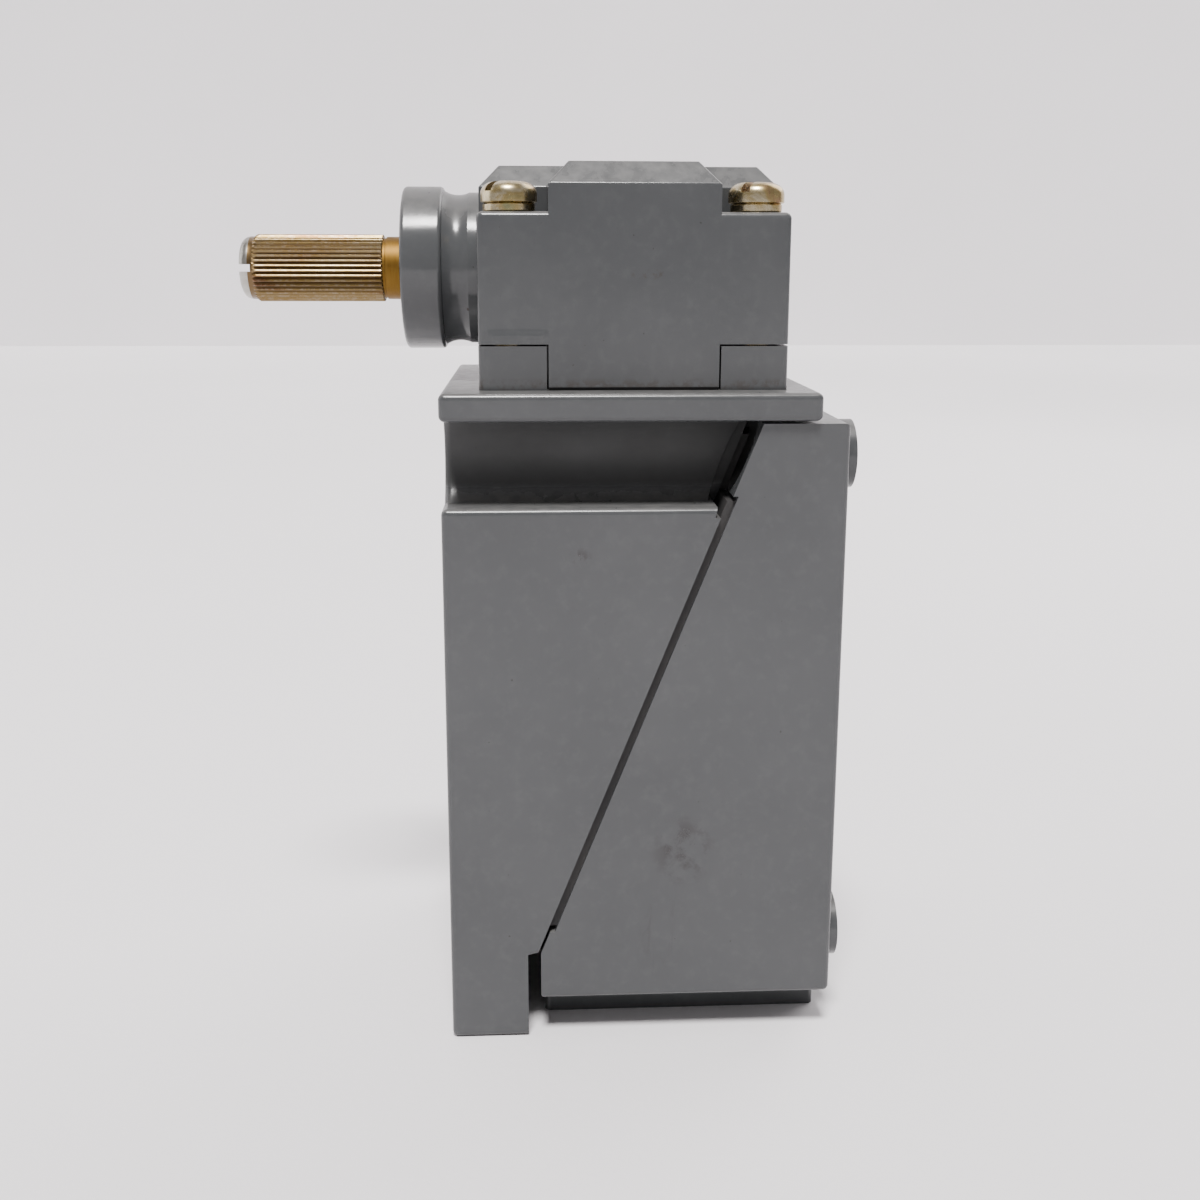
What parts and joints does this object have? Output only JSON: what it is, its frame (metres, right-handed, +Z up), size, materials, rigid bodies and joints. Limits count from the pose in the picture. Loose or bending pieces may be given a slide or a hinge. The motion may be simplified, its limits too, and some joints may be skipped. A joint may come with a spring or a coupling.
{
  "type": "rotary limit switch",
  "caption": "Plug-in rotary limit switch: square head with a serrated lever shaft, on a wedge-shaped switch body plugged into a wedge-shaped receptacle.",
  "frame": {"origin": "centre of the four mounting holes, in the plane of the four mounting pads", "axes": "+Y into the mounting surface, along the mounting holes; +Z up, towards the operating head; the lever shaft points along -Y"},
  "size_m": [0.0428, 0.0719, 0.1034],
  "materials": {
    "grey_paint": "satin grey enamel on a zinc casting",
    "plated_steel": "yellow chromate on serrated steel",
    "plated_screws": "yellow chromate over zinc plate",
    "cam_steel": "hardened steel",
    "spring_steel": "bright spring steel",
    "bronze": "oiled sintered bronze",
    "contact_brass": "bare brass",
    "silver": "silver alloy",
    "plate_aluminium": "brushed",
    "green_screw": "green",
    "black_rubber": "matt black",
    "black_plastic": "moulded",
    "guide_plastic": "natural nylon"
  },
  "bodies": {
    "housing": {"head_housing": "grey_paint", "switch_body": "grey_paint", "receptacle": "grey_paint", "shaft_seal": "black_rubber", "front_bushing": "bronze", "rear_bushing": "bronze", "thrust_washer": "bronze", "plunger_guide": "guide_plastic", "return_spring": "spring_steel", "head_gasket": "black_rubber", "head_screws": "plated_screws", "head_lock_washers": "plated_screws", "rod_bushing": "bronze", "rod_seal": "black_rubber", "contact_block": "black_plastic", "contact_block_cover": "black_plastic", "contact_block_screws": "plated_screws", "fixed_contact_tips": "silver", "fixed_contacts": "contact_brass", "carrier_spring": "spring_steel", "captive_screws": "plated_screws", "captive_screw_clips": "spring_steel", "nameplate": "plate_aluminium", "nameplate_pins": "plate_aluminium", "body_gasket": "black_rubber", "terminal_block": "black_plastic", "socket_clips": "contact_brass", "wire_clamps": "contact_brass", "terminal_screws": "plated_screws", "terminal_block_screws": "plated_screws", "ground_screw": "green_screw", "ground_clamp": "contact_brass"},
    "lever": {"lever_shaft": "plated_steel", "operating_cam": "cam_steel", "cam_pin": "cam_steel", "retaining_ring": "spring_steel"},
    "plunger": {"head_plunger": "cam_steel"},
    "carrier": {"push_rod": "guide_plastic", "contact_carrier": "guide_plastic", "moving_contacts": "contact_brass", "moving_contact_tips": "silver"}
  },
  "joints": [
    {"name": "lever_turn", "type": "hinge", "parent": "housing", "child": "lever", "pos_m": [0, -0.0625, 0.05067], "axis": [0, 1, 0], "range_deg": [0, 75], "stiffness_Nm_per_rad": 0.15, "springref_deg": -28.65},
    {"name": "plunger_slide", "type": "slide", "parent": "housing", "child": "plunger", "axis": [0, 0, -1], "range_m": [0, 0.00262], "deforming": ["return_spring"]},
    {"name": "carrier_slide", "type": "slide", "parent": "housing", "child": "carrier", "axis": [0, 0, -1], "range_m": [0, 0.00262], "deforming": ["carrier_spring"]}
  ],
  "couplings": [
    {"joint": "plunger_slide", "follows": "lever_turn", "m_per_rad": 0.002},
    {"joint": "carrier_slide", "follows": "lever_turn", "m_per_rad": 0.002}
  ]
}
